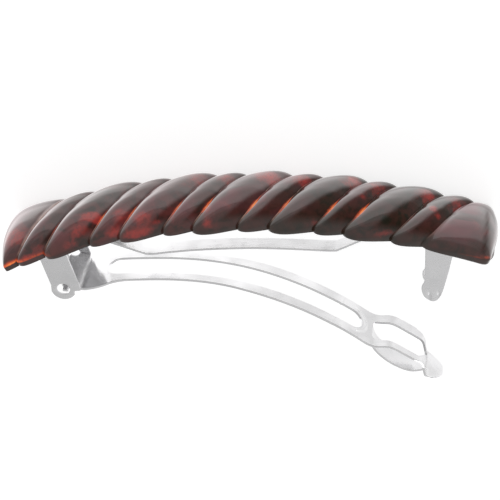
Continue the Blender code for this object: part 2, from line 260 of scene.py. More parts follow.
def makeFloor(look):
    half = look["floorSize"] / 2
    corners = [(-half, -half, 0), (half, -half, 0), (half, half, 0), (-half, half, 0)]
    mesh = bpy.data.meshes.new("floor")
    mesh.from_pydata(corners, [], [(0, 1, 2, 3)])
    floor = addObject("floor", mesh)
    paper, tree, shader = newMaterial("lightTable")
    coords, along, away = coordParts(tree, "Object")[:3]
    past = away + along.square() * look["archDrop"]
    barLine = look["barLine"]
    mirrored = past.ease(barLine, barLine + look["farRise"], look["contactGlow"], look["farGlow"])
    mirrored = past.ease(*look["farFall"]).mix(mirrored, look["horizonGlow"])
    mirrored = mirrored * along.ease(*look["leftSpan"], look["leftShare"], 1.0)
    crest = past.ease(*look["crestRise"]) * past.ease(*look["crestFall"])
    mirrored = crest.mix(mirrored, along.ease(*look["crestSpan"], *look["crestGlow"]))
    mirrored = mirrored * abs(along).ease(*look["tableEnds"], 1.0, look["tableDark"])

    patchy = noise(tree, coords, look["patchScale"], 1.0).ease(*look["patchEdges"], *look["patches"])
    near = along.ease(*look["nearSpan"], *look["nearGlow"]) * patchy
    leftReach, reach = look["nearReach"]
    nearLine = along.ease(*look["nearStep"], leftReach * barLine, reach * barLine)
    mirrored = past.ease(barLine, nearLine).mix(mirrored, near)

    endLine, blur = look["endLine"], look["endBlur"]
    endStop = endLine + look["endReach"]
    inPatch = along.ease(endLine, endLine + blur) - along.ease(endStop, endStop + blur)
    inPatch = inPatch * past.ease(look["endDepth"], look["endDepth"] - blur)
    mirrored = inPatch.mix(mirrored, look["endGlow"])
    feed(tree, shader, {
        "Base Color": look["paper"],
        "Roughness": look["paperRough"],
        "Emission Color": (1, 1, 1, 1),
        "Emission Strength": glossyRay(tree).mix(look["paperGlow"], mirrored),
    })
    mesh.materials.append(paper)


def makeRoom(look):
    world = bpy.data.worlds.new("room")
    bpy.context.scene.world = world
    world.use_nodes = True
    tree = world.node_tree
    tree.nodes.clear()
    x, y, z = coordParts(tree, "Generated")[1:]
    lit = z.ease(*look["roomRise"], look["roomLow"], look["roomHigh"])
    wall = z.ease(*look["wallTop"]) * y.ease(*look["wallFar"]) * abs(x).ease(*look["wallSides"])
    onRight = y.ease(*look["rightFront"]) * x.ease(*look["rightSide"])
    gloss = wall.mix(onRight.mix(look["roomGloss"], look["rightGloss"]), look["wallGlow"])
    glow = addNode(tree, "ShaderNodeBackground")
    plug(tree, glow.inputs["Strength"], glossyRay(tree).mix(lit, gloss))
    out = addNode(tree, "ShaderNodeOutputWorld")
    tree.links.new(glow.outputs[0], out.inputs["Surface"])


def makeSoftboxes(look):
    for name, towards, distance, size, power in look["softboxes"]:
        data = bpy.data.lights.new(name, "AREA")
        data.shape = "DISK"
        data.size = size
        data.energy = power
        box = addObject(name, data)
        way = Vector(towards).normalized()
        box.location = way * distance
        box.rotation_mode = "QUATERNION"
        box.rotation_quaternion = way.to_track_quat("Z", "Y")


makeCamera(cameraView)
makeFloor(studio)
makeRoom(studio)
makeSoftboxes(studio)
bpy.context.scene.view_settings.view_transform = "Standard"
print("camera, floor and light are set")


# Shared helpers

def finishPiece(obj, body, node):
    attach(obj, body)
    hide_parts(node)
    print("piece", obj.name, "with", len(obj.data.polygons), "faces")


def plainMesh(obj, name):
    graph = bpy.context.evaluated_depsgraph_get()
    mesh = bpy.data.meshes.new_from_object(obj.evaluated_get(graph))
    mesh.name = name
    bpy.data.objects.remove(obj)
    return addObject(name, mesh)


# The rope bar: a grid of stations along the bar and points round its section

ropeBar = {
    "sizes": {
        "backRadius": 122.0,
        "halfLength": 46.4,  # along the arched back
        "leftBow": 0.55,  # how far each end stands back at its corners
        "rightBow": 0.9,
        "slant": 0.658,
        "halfWidth": 7.1,  # at the grooves
        "height": 3.35,  # at the grooves
        "middleRim": 0.55,  # how high the section's widest line is
        "endRim": 1.35,
        "rimFrom": 33.0,
        "rimTo": 40.0,
        "leftFront": 0.9,  # corner radii of the plan
        "leftBack": 3.0,
        "rightFront": 1.7,
        "rightBack": 1.4,
        "capFall": 6.4,  # how far from its end the dome starts to fall
        "capFallPower": 2.4,
        "capReach": 7.0,
        "edgeRound": 0.4,
        "domePower": 2.08,  # how square the section over the rim is, at the front
        "shoulderPower": 2.6,  # and on the side that the clip rests on
        "flankPower": 0.575,  # how full a strand's section is at the sides
        "crownPower": 0.85,  # and over the top
        "lipDrop": 0.45,  # how far the front edge hangs down at the left end
        "backPower": 9.0,  # and under the rim
        "skew": 0.2,  # how far a strand's crown leans towards its lipped edge
        "restHalfWidth": 8.1,
        "grooveBend": 0.45,  # how far a groove bows to the right of its slant, half way up the front
    },
    "lipSpan": (-30.0, -38.0),  # where the front edge starts to hang, and where it hangs fully
    "lipPowers": (20.0, 4.0),  # how much the drop keeps to the edge, under it and over it
    "stepsAcross": 22,
    "stepsRound": 128,
    "firstGroove": -38.3,
    "strandWidths": (5.6, 9.1, 5.7, 8.4, 5.4, 8.3, 5.6, 8.1, 5.3, 8.6, 5.6),
    "wideFrom": 7.0,
    "wide": (1.6, 1.55),  # rise over the grooves at the sides and over the top
    "narrow": (1.1, 1.15),
    "cap": (1.35, 1.3),
}
spanColumns = ("left", "right", "side", "top", "capSide")


def spanMesh(bar):
    # one vertex for each stretch between grooves, its sizes as attributes
    grooves = [bar["firstGroove"]]
    for width in bar["strandWidths"]:
        grooves.append(grooves[-1] + width)
    end = bar["sizes"]["halfLength"]
    ends = [-end] + grooves + [end]
    last = len(ends) - 2
    rows = []
    for i, (left, right) in enumerate(zip(ends, ends[1:])):
        kind = "cap" if i in (0, last) else ("wide" if right - left > bar["wideFrom"] else "narrow")
        capSide = {0: -1.0, last: 1.0}.get(i, 0.0)
        rows.append((left, right, *bar[kind], capSide))
    mesh = bpy.data.meshes.new("spans")
    mesh.from_pydata([(0, 0, 0)] * len(rows), [], [])
    for name, column in zip(spanColumns, zip(*rows)):
        mesh.attributes.new(name, "FLOAT", "POINT").data.foreach_set("value", column)
    return mesh, len(rows)


def ropeTree(bar, spanCount):
    tree = bpy.data.node_groups.new("ropeBarShape", "GeometryNodeTree")
    face = tree.interface
    face.new_socket("Geometry", in_out="INPUT", socket_type="NodeSocketGeometry")
    face.new_socket("Geometry", in_out="OUTPUT", socket_type="NodeSocketGeometry")
    for name, value in bar["sizes"].items():
        face.new_socket(name, in_out="INPUT", socket_type="NodeSocketFloat").default_value = value
    face.new_socket("material", in_out="INPUT", socket_type="NodeSocketMaterial")
    source = addNode(tree, "NodeGroupInput")
    given = SimpleNamespace(**{name: Term(tree, source.outputs[name]) for name in bar["sizes"]})

    cells = bar["stepsAcross"] * spanCount
    ring = bar["stepsRound"] + 1
    grid = addNode(tree, "GeometryNodeMeshGrid")
    # two rings more than stations, for the closing points
    feed(tree, grid, {"Vertices X": cells + 3, "Vertices Y": ring})
    index = Term(tree, addNode(tree, "GeometryNodeInputIndex").outputs[0])
    column = ((index + 0.5) / ring).step("FLOOR")
    row = index - column * ring
    angle = row * (2 * math.pi / bar["stepsRound"])
    station = (column - 1.0).clamp(cells)
    closing = column.step("COMPARE", station + 1.0, 0.5)  # 0 on the closing points
    span = ((station + 0.01) / bar["stepsAcross"]).step("FLOOR").low(spanCount - 1.0)
    share = station / bar["stepsAcross"] - span

    def spanValue(name):
        named = addNode(tree, "GeometryNodeInputNamedAttribute", data_type="FLOAT")
        named.inputs["Name"].default_value = name
        sample = addNode(tree, "GeometryNodeSampleIndex", data_type="FLOAT", domain="POINT")
        feed(tree, sample, {"Geometry": source.outputs["Geometry"], "Value": named.outputs["Attribute"],
                            "Index": span})
        return Term(tree, sample.outputs["Value"])

    left, right, side, top, capSide = (spanValue(name) for name in spanColumns)
    leftCap = (capSide * -1.0).high(0.0)
    rightCap = capSide.high(0.0)
    isCap = leftCap + rightCap

    # along the bar
    cosine, sine = angle.step("COSINE"), angle.step("SINE")
    halfWay = cosine.high(0.0) * sine.high(0.0) * 2.0
    lean = given.slant * given.halfWidth * cosine - given.grooveBend * halfWay.square()
    leftBow = given.leftBow * cosine.square()
    rightBow = given.rightBow * cosine.square()
    leftEdge = leftCap.mix(left - lean, left + leftBow)
    rightEdge = rightCap.mix(right - lean, right - rightBow)
    even = (1.0 - (share * math.pi).step("COSINE")) * 0.5
    outward = leftCap.mix(share, 1.0 - share)
    capShare = (outward * (math.pi / 2)).step("SINE")
    capShare = leftCap.mix(capShare, 1.0 - capShare)
    across = isCap.mix(even, capShare)
    s = across.mix(leftEdge, rightEdge)

    # rise of the strand over its grooves
    fromGroove = leftCap.mix(s - leftEdge, rightEdge - s)
    capRise = (fromGroove / given.capReach).arcShare()
    hump = 4.0 * (across * (1.0 - across))
    skewed = across + given.skew * cosine * hump
    centred = skewed * 2.0 - 1.0
    fullness = sine.high(0.0).mix(given.flankPower, given.crownPower)
    strandRise = (1.0 - centred.square()) ** fullness
    upright = abs(sine)
    rise = isCap.mix(strandRise, capRise) * upright.mix(side, top)

    # how the ends close
    onRight = s > 0.0
    reach = given.halfLength - onRight.mix(leftBow, rightBow)
    size = abs(s)
    toEnd = reach - size
    fallen = 1.0 - (toEnd / given.capFall).clamp()
    fall = (1.0 - fallen ** given.capFallPower) ** (1.0 / given.capFallPower)
    isFront = cosine > 0.0
    corner = onRight.mix(isFront.mix(given.leftBack, given.leftFront),
                         isFront.mix(given.rightBack, given.rightFront))
    fullBow = onRight.mix(given.leftBow, given.rightBow)
    over = (size - (given.halfLength - fullBow - corner)).clamp(corner)
    inset = corner - (corner.square() - over.square()).root()
    edgeRound = given.edgeRound
    nearEnd = (edgeRound - toEnd).clamp(edgeRound)
    edge = edgeRound - (edgeRound.square() - nearEnd.square()).root()

    # round the section
    climb = ((size - given.rimFrom) / (given.rimTo - given.rimFrom)).clamp()
    climb = climb.square() * (3.0 - climb * 2.0)
    rim = climb.mix(given.middleRim, given.endRim)
    onDome = sine > -0.000001
    domeBend = 2.0 / isFront.mix(given.shoulderPower, given.domePower)
    bend = onDome.mix(2.0 / given.backPower, domeBend)
    outwards = abs(cosine) ** bend
    upwards = upright ** bend
    half = given.halfWidth + rise * abs(cosine) - (inset + edge)
    y = (half * outwards * (cosine.step("SIGN") * -1.0)).low(given.restHalfWidth)
    dome = (given.height - rim + rise * sine) * fall
    z = onDome.mix(rim - rim * upwards, rim + dome * upwards)
    middle = rim * 0.5
    z = (1.0 - edge / rim).mix(middle, z)
    drop = given.lipDrop * isFront * s.ease(*bar["lipSpan"])
    z = z - drop * outwards ** onDome.mix(*bar["lipPowers"])
    y = y * closing
    z = closing.mix(middle, z)
    s = closing.mix(s.step("SIGN") * given.halfLength, s)

    # onto the arch, in metres
    turn = s / given.backRadius
    far = given.backRadius + z
    place = addNode(tree, "ShaderNodeCombineXYZ")
    feed(tree, place, {
        "X": far * turn.step("SINE") * mm,
        "Y": y * mm,
        "Z": (far * turn.step("COSINE") - given.backRadius) * mm,
    })

    def after(shape, kind, values=(), **settings):
        node = addNode(tree, kind, **settings)
        feed(tree, node, {"Geometry": shape, **dict(values)})
        return node.outputs[0]

    shape = grid.outputs["Mesh"]
    stores = {"along": s, "round": angle, "span": span, "fromLeft": s - leftEdge,
              "toRight": rightEdge - s}
    for name, value in stores.items():
        shape = after(shape, "GeometryNodeStoreNamedAttribute", {"Name": name, "Value": value},
                      data_type="FLOAT", domain="POINT")
    shape = after(shape, "GeometryNodeSetPosition", {"Position": place.outputs[0]})
    shape = after(shape, "GeometryNodeMergeByDistance", {"Distance": weldDistance})
    shape = after(shape, "GeometryNodeSetShadeSmooth")
    shape = after(shape, "GeometryNodeRealizeInstances")
    shape = after(shape, "GeometryNodeSetMaterial", {"Material": source.outputs["material"]})
    tree.links.new(shape, addNode(tree, "NodeGroupOutput").inputs[0])
    return tree


def makeRopeBar(bar, material):
    mesh, spanCount = spanMesh(bar)
    holder = addObject("ropeHolder", mesh)
    tree = ropeTree(bar, spanCount)
    modifier = holder.modifiers.new("rope", "NODES")
    modifier.node_group = tree
    for item in tree.interface.items_tree:
        if item.name == "material":
            modifier[item.identifier] = material
    piece = plainMesh(holder, "carvedBar")
    piece.data.transform(clipFrame)
    bm = bmesh.new()
    bm.from_mesh(piece.data)
    bmesh.ops.recalc_face_normals(bm, faces=bm.faces)
    bm.to_mesh(piece.data)
    bm.free()
    return piece


def readColumn(mesh, name):
    column = np.zeros(len(mesh.vertices), dtype=np.float32)
    mesh.attributes[name].data.foreach_get("value", column)
    return column


def storeColumn(mesh, name, column):
    mesh.attributes.new(name, "FLOAT", "POINT").data.foreach_set("value", column.astype(np.float32))


def easeArray(value, start, end):
    t = np.clip((value - start) / (end - start), 0, 1)
    return t * t * (3 - 2 * t)


tortoise = {
    # how strongly the painted glow of light through the lipped edge beside each groove shows, left to
    # right
    "grooveLight": (0.3, 0.35, 0.8, 0.8, 0.7, 1.05, 1.05, 0.8, 0.85, 0.95, 0.1, 0.05),
    "lightMiddle": 60.0,  # degrees round the section, from the front edge
    "lightSpread": 17.0,
    "lightWidth": 0.9,  # mm from the groove
    "lightNarrow": 0.35,  # the share of that width far from the middle
    "lightCore": (0.3, 0.4),  # between which shares of the width it is full
    "wallLight": 0.4,  # how much of it the strand on the groove's other side has
    "wallReach": (0.05, 0.35),
    # how strong each strand's painted maroon glow is, and how that ends: mm from its lipped edge, and
    # the share left there
    "warmGlowShare": (0.5, 0.6, 1.0, 1.0, 0.9, 0.65, 0.35, 0.3, 0.2, 0.25, 0.3, 0.3, 0.35),
    "warmEdge": (0.3, 1.6),
    "warmLeast": 0.35,
    "warmLoss": 0.5,  # how much of it goes up the strand
    "warmBack": 200,  # degrees round, where the rear side starts
    # degrees round between which each comes in or goes out
    "rounds": {
        "warmIn": (-4, 14), "warmLess": (60, 90), "lipIn": (12, 40), "lipOut": (130, 150),
        "faintOut": (60, 90), "upperIn": (20, 60), "upperOut": (150, 180), "satinIn": (20, 45),
        "satinOut": (150, 170), "bandIn": (15, 35), "bandOut": (95, 125),
    },
    "upperEdge": (0.35, 0.75, 0.75),  # shares of a strand's width where the painted rosy glow thins, and how much
    # the share of each strand's width where painted shade dims its reflection and it turns rougher, at
    # two places round
    "shadeStarts": ((2, 2), (0.85, 1.2), (0.8, 1.1), (0.75, 1.1), (0.72, 1.1), (0.70, 1.05), (0.66, 1.02),
                   (0.42, 0.80), (0.45, 0.95), (0.27, 0.74), (0.52, 0.80), (0.38, 0.71), (2, 2)),
    "shadeRounds": (50, 110),
    "shadeBlur": (-0.05, 0.1),
    # a line across the right end with dimmer, rougher reflection: mm along, width, strength
    "endBand": (43.6, 0.45, 0.75),
    # how far each strand has the painted rosy glow all over; a strand with none has a faint one in
    # places
    "rosyGlow": (0.75, 0.5, 0.3, 0.45, 0.6, 0.4, 0.35, 0.35, 0, 0.12, 0, 0.05, 0.3),
    # strand, mm along, degrees round, mm and degrees of reach, strength
    "clouds": (
        (0, -42.5, 66, 3.4, 26, 0.7), (0, -44.5, 10, 2.4, 9, 0.6), (1, -40.0, 12, 2.2, 12, 0.75),
        (1, -37.6, 30, 1.2, 16, 0.4), (2, -32.0, 20, 2.6, 15, 0.4), (2, -29.6, 36, 1.4, 10, 0.5),
        (2, -27.2, 64, 1.5, 7, 1.5), (2, -26.2, 56, 0.8, 6, 1.2), (2, -29.4, 50, 2.2, 14, 0.5),
        (3, -23.0, 24, 1.8, 18, 0.85), (3, -21.5, 58, 1.8, 14, 0.7), (4, -18.3, 17, 2.8, 13, 1.15),
        (4, -17.6, 46, 2.3, 10, 0.85), (4, -14.8, 34, 1.2, 6, 0.6), (4, -8.6, 118, 3.2, 22, 0.6),
        (5, -12.4, 50, 1.7, 16, 0.65), (5, -12.6, 24, 1.4, 12, 0.35), (5, -3.4, 116, 2.6, 20, 0.6),
        (6, -5.4, 25, 1.6, 14, 0.65), (6, -5.8, 52, 0.7, 9, 0.7), (6, -2.4, 55, 2.0, 14, 0.35),
        (6, 4.4, 114, 3.2, 20, 0.85), (7, 10.4, 112, 2.8, 20, 0.75), (8, 13.6, 22, 1.6, 12, 0.5),
        (8, 19.6, 120, 3.0, 22, 0.75), (9, 23.6, 112, 2.4, 24, 0.6), (9, 21.2, 86, 0.8, 8, 0.5),
        (10, 25.9, 20, 1.9, 14, 0.55), (10, 33.2, 112, 3.2, 18, 0.8), (11, 33.8, 84, 0.8, 8, 1.0),
        (11, 34.8, 72, 0.7, 7, 0.7), (11, 38.2, 108, 2.6, 22, 0.6), (12, 42.5, 70, 3.0, 24, 0.3),
    ),
    # painted glow along the lower rims: mm along, reach, degrees round, spread, strength
    "rimLight": ((-43.8, 2.6, 4.5, 7.5, 0.7), (-44.6, 1.6, 12.0, 9.0, 0.3), (-38.6, 3.0, 6.0, 8.0, 0.28),
                 (40.4, 1.6, 3.0, 4.0, 0.12), (42.6, 1.4, 8.0, 4.0, 0.16), (44.4, 1.2, 17.0, 6.0, 0.24)),
    "lipLine": 0.3,  # mm, the painted highlight line along each lip
    "lipCore": 0.3,  # the share of it that is full
    "lipStrands": 8,  # the strands right of this one have a faint one, on the front half alone
    "faintLip": 0.25,
    "dark": (0.006, 0.006, 0.004, 1),
    "brown": (0.018, 0.009, 0.006, 1),
    "red": (0.16, 0.012, 0.010, 1),
    "bodyLight": (0.004, 0.003, 0.0003, 1),
    "warmLight": (0.058, 0.009, 0.007, 1),
    "veilLight": (0.090, 0.013, 0.020, 1),
    "redLight": (0.135, 0.014, 0.010, 1),
    "fireLight": (0.5, 0.055, 0.010, 1),  # through the thin lips, from red
    "amberLight": (0.95, 0.26, 0.04, 1),  # to amber
    "lipLight": (0.38, 0.24, 0.19, 1),
    # scale, detail and distortion
    "noises": {"broad": (150, 4.0, 0.8), "fine": (700, 4.0, 0.4), "smoke": (1500, 3.0, 0.6),
               "haze": (380, 4.0, 1.2), "waves": (420, 2.0), "grain": (5200, 2.0)},
    # from where to where each grows, and from what to what
    "fades": {"frayed": (0.22, 0.95), "smoky": (0.3, 0.62, 0.6, 1.0), "glowPatches": (0.42, 0.66),
              "glowing": (0.25, 0.6, 0.55, 1.1), "brown": (0.35, 0.65), "rosyGlow": (0.0, 0.3, 0.35, 1.0),
              "haze": (0.36, 0.58), "fire": (0.02, 0.5), "amber": (0.35, 1.1),
              "lipHighlight": (0.3, 0.6, 0.3, 0.7), "groove": (0.5, 0.0), "rough": (0.3, 0.8, 0.10, 0.17)},
    "fraying": 0.8,  # how far the fine noise moves the clouds' edges
    "cloudVeil": 0.25,  # and the clouds the painted rosy glow's
    "lowVeil": 0.2,  # the painted rosy glow's share on a strand's lower part
    "dulling": 0.25,  # how much rougher a groove's bottom is
    "satinShare": 0.5,  # and the dimmed places, as a share of that
    "shine": (0.5, 0.08),  # the reflection level in full, and where painted shade dims it
    "coat": (0.7, 0.5, 0.08),  # the coat's weight, what a groove takes off as painted shade, and its share where painted shade dims it
    "coatRough": 0.06,
    "bendOfLight": 1.45,
    "grainShare": 0.04,
    "bumps": (0.6, 0.03 * mm),  # strength and depth
}


def chartTortoise(piece, look):
    # where the bar's painted glow and painted shade go, and its red clouds, as columns on its points
    mesh = piece.data
    names = ("along", "round", "span", "fromLeft", "toRight")
    along, turn, span, fromLeft, toRight = (readColumn(mesh, name) for name in names)
    turn = np.degrees(turn)
    span = np.round(span)
    strand = span.astype(int)

    def comesIn(name):
        return easeArray(turn, *look["rounds"][name])

    def goesOut(name):
        return 1 - comesIn(name)

    def spot(middle, reach, height, spread):
        return np.exp(-((along - middle) / reach) ** 2 - ((turn - height) / spread) ** 2)

    clouds = np.zeros_like(along)
    for number, middle, height, reach, spread, strength in look["clouds"]:
        clouds += np.where(span == number, strength * spot(middle, reach, height, spread), 0)
    storeColumn(mesh, "clouds", clouds)

    # the painted maroon glow stops short of a strand's lower rim and of its lipped edge
    warmGlow = np.array(look["warmGlowShare"])[strand] * comesIn("warmIn")
    warmGlow *= 1 - look["warmLoss"] * comesIn("warmLess")
    least = look["warmLeast"]
    warmGlow *= least + (1 - least) * easeArray(fromLeft, *look["warmEdge"])
    storeColumn(mesh, "warmGlow", np.where(turn > look["warmBack"], 0, warmGlow))

    light = np.array(look["grooveLight"] + (0.0,))
    count = len(look["grooveLight"])
    leftLight = np.where(span > 0, light[np.clip(strand - 1, 0, count)], 0)
    rightLight = light[np.clip(strand, 0, count)]
    height = np.exp(-((turn - look["lightMiddle"]) / look["lightSpread"]) ** 2)
    least = look["lightNarrow"]
    wide = look["lightWidth"] * (least + (1 - least) * height)
    core, edge = look["lightCore"]
    onLip = easeArray(fromLeft, 0, core * wide) * (1 - easeArray(fromLeft, edge * wide, wide))
    wallStart, wallEnd = look["wallReach"]
    onWall = 1 - easeArray(toRight, wallStart, wallEnd * wide)
    amber = height * (onLip * leftLight + look["wallLight"] * onWall * rightLight)
    for *where, strength in look["rimLight"]:
        amber += strength * spot(*where)
    storeColumn(mesh, "amber", amber)

    # painted highlight: a thin bright line along each strand's lipped edge
    lipHighlight = 1 - easeArray(fromLeft, look["lipCore"] * look["lipLine"], look["lipLine"])
    lipHighlight *= comesIn("lipIn") * (span > 0)
    faint = look["faintLip"] * goesOut("faintOut")
    lipHighlight *= np.where(span > look["lipStrands"], faint, goesOut("lipOut"))
    storeColumn(mesh, "lipHighlight", lipHighlight)

    share = fromLeft / (fromLeft + toRight + 0.01)
    thinFrom, thinTo, thinning = look["upperEdge"]
    thinner = 1 - thinning * easeArray(share, thinFrom, thinTo)
    storeColumn(mesh, "upper", comesIn("upperIn") * goesOut("upperOut") * thinner)

    low, high = np.array(look["shadeStarts"])[strand].T
    first, last = look["shadeRounds"]
    # painted shade: past these shares the reflection is dimmed and the surface is rougher
    satinAndShade = easeArray(share - low - (high - low) * (turn - first) / (last - first), *look["shadeBlur"])
    satinAndShade *= comesIn("satinIn") * goesOut("satinOut")
    bandAt, bandWidth, bandStrength = look["endBand"]
    band = bandStrength * np.exp(-((along - bandAt) / bandWidth) ** 2) * comesIn("bandIn")
    storeColumn(mesh, "satinAndShade", np.maximum(satinAndShade, band * goesOut("bandOut")))
    storeColumn(mesh, "rosyGlow", np.array(look["rosyGlow"])[strand])
    storeColumn(mesh, "groove", np.minimum(fromLeft, toRight))


def mixColour(tree, a, b, share):
    node = addNode(tree, "ShaderNodeMix", data_type="RGBA")
    for socket, value in zip((node.inputs["Factor"], node.inputs[6], node.inputs[7]), (share, a, b)):
        plug(tree, socket, value)
    return node.outputs[2]


def bumpNormal(tree, height, strength, deep):
    node = addNode(tree, "ShaderNodeBump")
    feed(tree, node, {"Strength": strength, "Distance": deep, "Height": height})
    return node.outputs[0]


def column(tree, name):
    return Term(tree, addNode(tree, "ShaderNodeAttribute", attribute_name=name).outputs["Fac"])


def acetate(look):
    material, tree, shader = newMaterial("tortoiseshellAcetate")
    coords = addNode(tree, "ShaderNodeTexCoord").outputs["Object"]
    patterns = {name: noise(tree, coords, *given) for name, given in look["noises"].items()}
    fine, smoke = patterns["fine"], patterns["smoke"]

    def faded(value, name):
        return value.ease(*look["fades"][name])

    # clouds of red with frayed edges, in a body that goes from black to brown
    clouds = column(tree, "clouds")
    cloud = faded(clouds + (fine - 0.5) * look["fraying"], "frayed") * faded(smoke, "smoky")
    body = mixColour(tree, look["dark"], look["brown"], faded(fine, "brown"))
    body = mixColour(tree, body, look["red"], cloud)

    # painted glow, standing in for the light that comes through
    rosyGlow = column(tree, "rosyGlow")
    glowPatches = faded(patterns["broad"] + clouds * look["cloudVeil"], "glowPatches") * faded(rosyGlow, "rosyGlow")
    # painted rosy glow, full on the strands' upper faces and weaker below
    rosyGlowShare = glowPatches.high(rosyGlow) * column(tree, "upper").mix(look["lowVeil"], 1.0)
    amber = column(tree, "amber") * faded(smoke, "glowing")
    lit = look["bodyLight"]
    lights = {
        "warmLight": column(tree, "warmGlow") * faded(patterns["haze"], "haze"),
        "veilLight": rosyGlowShare,
        # the red clouds also glow: painted glow on top of their real red colour
        "redLight": cloud,
        "fireLight": faded(amber, "fire"),
        "amberLight": faded(amber, "amber"),
        "lipLight": column(tree, "lipHighlight") * faded(fine, "lipHighlight"),
    }
    for name, share in lights.items():
        lit = mixColour(tree, lit, look[name], share)

    # painted shade in the reflection: the grooves and the dimmed places have less coat and reflection,
    # and are rougher
    inGroove = faded(column(tree, "groove"), "groove")
    satinAndShade = column(tree, "satinAndShade")
    dull = inGroove.high(satinAndShade * look["satinShare"])
    coat, grooveLoss, satinCoat = look["coat"]
    waves = patterns["waves"] + patterns["grain"] * look["grainShare"]
    feed(tree, shader, {
        "Base Color": body,
        "Emission Color": lit,
        "Emission Strength": 1.0,
        "Roughness": faded(fine, "rough") + dull * look["dulling"],
        "Specular IOR Level": satinAndShade.mix(*look["shine"]),
        "Coat Weight": (coat - inGroove * grooveLoss) * satinAndShade.mix(1.0, satinCoat),
        "Coat Roughness": look["coatRough"],
        "IOR": look["bendOfLight"],
        "Normal": bumpNormal(tree, waves, *look["bumps"]),
    })
    return material


bar = makeRopeBar(ropeBar, acetate(tortoise))
chartTortoise(bar, tortoise)
finishPiece(bar, "bar", "rope_bar")


# Plated steel sheets: flat blanks with rounded edges, bent along a side view

class BentPath:
    # a smooth side view through a table of points, read by the distance along it
    def __init__(self, points, steps=14):
        ends = [tuple(2 * a - b for a, b in zip(points[0], points[1]))]
        ends += list(points)
        ends.append(tuple(2 * a - b for a, b in zip(points[-1], points[-2])))
        curve = []
        for before, start, end, after in zip(ends, ends[1:], ends[2:], ends[3:]):
            curve += [catmullRom(before, start, end, after, i / steps) for i in range(steps)]
        curve.append(points[-1])
        self.x, self.z = np.array(curve).T
        self.along = np.concatenate(([0], np.cumsum(np.hypot(np.diff(self.x), np.diff(self.z)))))
        slopeX, slopeZ = np.gradient(self.x, self.along), np.gradient(self.z, self.along)
        size = np.hypot(slopeX, slopeZ)
        self.normalX, self.normalZ = -slopeZ / size, slopeX / size
        self.length = self.along[-1]

    def distanceAt(self, x):
        return float(np.interp(x, self.x, self.along))

    def point(self, u, depth):
        # side-view point at distance u, depth below the upper face
        rows = (self.x, self.z, self.normalX, self.normalZ)
        x, z, across, up = (np.interp(u, self.along, row) for row in rows)
        return x - depth * across, z - depth * up

    def place(self, u, v, depth):
        x, z = self.point(u, depth)
        return x, v, z


def catmullRom(before, start, end, after, t):
    point = []
    for a, b, c, d in zip(before, start, end, after):
        point.append(0.5 * (2 * b + (c - a) * t + (2 * a - 5 * b + 4 * c - d) * t * t
                            + (3 * b - a - 3 * c + d) * t ** 3))
    return tuple(point)


def smoothLine(points, steps=6):
    path = BentPath(points, steps)
    return list(zip(path.x, path.z))


def arc(centre, radius, start, end, steps):
    out = []
    for i in range(steps + 1):
        a = math.radians(start + (end - start) * i / steps)
        out.append((centre[0] + radius * math.cos(a), centre[1] + radius * math.sin(a)))
    return out


def roundedSlot(u0, u1, halfWidth, corner, steps):
    v = halfWidth - corner
    middles = ((u1 - corner, -v), (u1 - corner, v), (u0 + corner, v), (u0 + corner, -v))
    return [point for middle, start in zip(middles, (-90, 0, 90, 180))
            for point in arc(middle, corner, start, start + 90, steps)]


def roundCorners(loop, radius, steps=4, sharp=25, most=0.45):
    # each corner sharper than the given angle becomes an arc, along a share of its sides at most
    out = []
    count = len(loop)
    for i in range(count):
        here = Vector(loop[i])
        back = Vector(loop[i - 1]) - here
        ahead = Vector(loop[(i + 1) % count]) - here
        turn = math.pi - back.angle(ahead)
        if math.degrees(turn) < sharp:
            out.append(tuple(here))
            continue
        cut = min(radius * math.tan(turn / 2), most * back.length, most * ahead.length)
        start = here + back.normalized() * cut
        end = here + ahead.normalized() * cut
        for j in range(steps + 1):
            t = j / steps
            out.append(tuple((1 - t) ** 2 * start + 2 * t * (1 - t) * here + t * t * end))
    return out


def bothSides(half):
    # a closed outline from the half of it on one side of the middle line
    return [(u, -w) for u, w in half] + [(u, w) for u, w in reversed(half)]


def tidyLoop(loop, clockwise, nearest=0.01):
    kept = []
    for point in loop:
        if not kept or math.dist(point, kept[-1]) > nearest:
            kept.append(point)
    if math.dist(kept[0], kept[-1]) < nearest:
        kept.pop()
    area = sum(a[0] * b[1] - b[0] * a[1] for a, b in zip(kept, kept[1:] + kept[:1]))
    return kept[::-1] if (area > 0) == clockwise else kept


def insetLoop(loop, inset, sharpest=0.4):
    # a closed loop moved to its left, into the sheet
    points = np.array(loop)
    ahead = np.roll(points, -1, axis=0) - points
    ahead /= np.linalg.norm(ahead, axis=1, keepdims=True)
    left = np.stack((-ahead[:, 1], ahead[:, 0]), axis=1)
    before = np.roll(left, 1, axis=0)
    mitre = left + before
    mitre /= np.maximum((mitre * left).sum(axis=1, keepdims=True), sharpest)
    return points + inset * mitre


def sheetBlank(loops, thickness, edgeRound, edgeSteps=3):
    # a flat sheet with round edges; its upper face at depth 0
    top = []
    for i in range(edgeSteps + 1):
        a = math.pi / 2 * i / edgeSteps
        top.append((edgeRound * (1 - math.sin(a)), edgeRound * (1 - math.cos(a))))
    profile = top + [(inset, thickness - depth) for inset, depth in reversed(top)]
    loops = [tidyLoop(loop, i > 0) for i, loop in enumerate(loops)]
    bm = bmesh.new()
    rings = []
    for inset, depth in profile:
        lines = [insetLoop(loop, inset) for loop in loops]
        rings.append([[bm.verts.new((u, v, -depth)) for u, v in line] for line in lines])
    for upper, lower in zip(rings, rings[1:]):
        for ring, following in zip(upper, lower):
            for i in range(len(ring)):
                bm.faces.new((ring[i - 1], ring[i], following[i], following[i - 1]))
    for rim in (rings[0], rings[-1]):
        corners = [vert for ring in rim for vert in ring]
        for triangle in tessellate_polygon([[vert.co for vert in ring] for ring in rim]):
            bm.faces.new([corners[i] for i in triangle])
    bmesh.ops.recalc_face_normals(bm, faces=bm.faces)
    return bm


cutSnap = 0.004  # mm, a point this near a cut lies on it


